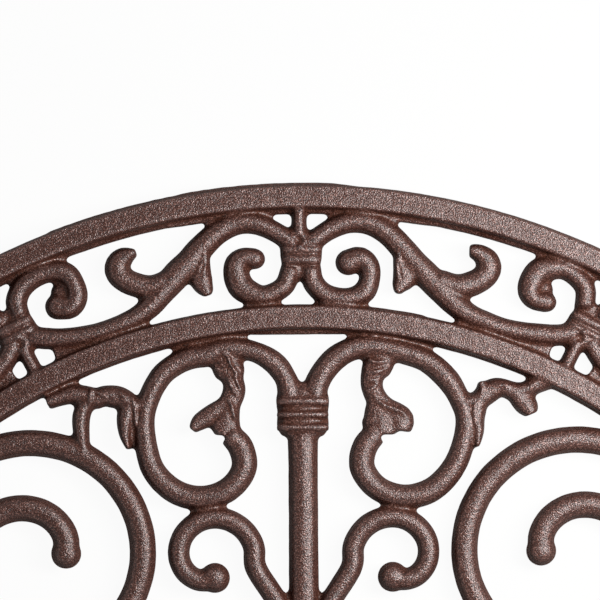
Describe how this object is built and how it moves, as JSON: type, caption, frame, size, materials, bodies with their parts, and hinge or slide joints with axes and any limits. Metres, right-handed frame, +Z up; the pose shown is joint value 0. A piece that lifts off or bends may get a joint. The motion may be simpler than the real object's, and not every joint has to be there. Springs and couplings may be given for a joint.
{
  "type": "door mat",
  "caption": "Half round openwork cast iron door mat: scrollwork between an outer rim, an inner arch and a straight base rail, on rubber feet.",
  "frame": {"origin": "middle of the mat in plan, on the surface that it lies on", "axes": "+X along the straight base rail to the right, +Y from the base rail to the crown of the arc, +Z up"},
  "size_m": [0.59, 0.33, 0.0155],
  "materials": {
    "cast_iron": "sand cast, with a thin dark red-brown primer over the grain",
    "rubber": "moulded black rubber"
  },
  "bodies": {
    "root": {"outer_rim": "cast_iron", "inner_arch": "cast_iron", "base_rail": "cast_iron", "collar_left_3": "cast_iron", "collar_left_2": "cast_iron", "collar_left_1": "cast_iron", "collar_top": "cast_iron", "collar_right_1": "cast_iron", "collar_right_2": "cast_iron", "collar_right_3": "cast_iron", "volute_left_3_lower": "cast_iron", "volute_left_3_upper": "cast_iron", "volute_left_2_lower": "cast_iron", "volute_left_2_upper": "cast_iron", "volute_left_1_lower": "cast_iron", "volute_left_1_upper": "cast_iron", "volute_top_left": "cast_iron", "volute_top_right": "cast_iron", "volute_right_1_upper": "cast_iron", "volute_right_1_lower": "cast_iron", "volute_right_2_upper": "cast_iron", "volute_right_2_lower": "cast_iron", "volute_right_3_upper": "cast_iron", "volute_right_3_lower": "cast_iron", "band_scroll_left_1": "cast_iron", "band_scroll_left_2": "cast_iron", "band_scroll_left_3": "cast_iron", "band_scroll_left_4": "cast_iron", "band_scroll_right_1": "cast_iron", "band_scroll_right_2": "cast_iron", "band_scroll_right_3": "cast_iron", "band_scroll_right_4": "cast_iron", "lower_collar": "cast_iron", "trunk": "cast_iron", "fork_arm_left": "cast_iron", "acanthus_left": "cast_iron", "branch_left": "cast_iron", "side_scroll_left": "cast_iron", "heart_scroll_left": "cast_iron", "foot_scroll_left": "cast_iron", "bud_scroll_left": "cast_iron", "side_leaf_left": "cast_iron", "fork_arm_right": "cast_iron", "acanthus_right": "cast_iron", "branch_right": "cast_iron", "side_scroll_right": "cast_iron", "heart_scroll_right": "cast_iron", "foot_scroll_right": "cast_iron", "bud_scroll_right": "cast_iron", "side_leaf_right": "cast_iron", "rubber_foot_1": "rubber", "rubber_foot_2": "rubber", "rubber_foot_3": "rubber", "rubber_foot_4": "rubber", "rubber_foot_5": "rubber", "rubber_foot_6": "rubber", "rubber_foot_7": "rubber", "rubber_foot_8": "rubber"}
  },
  "joints": []
}
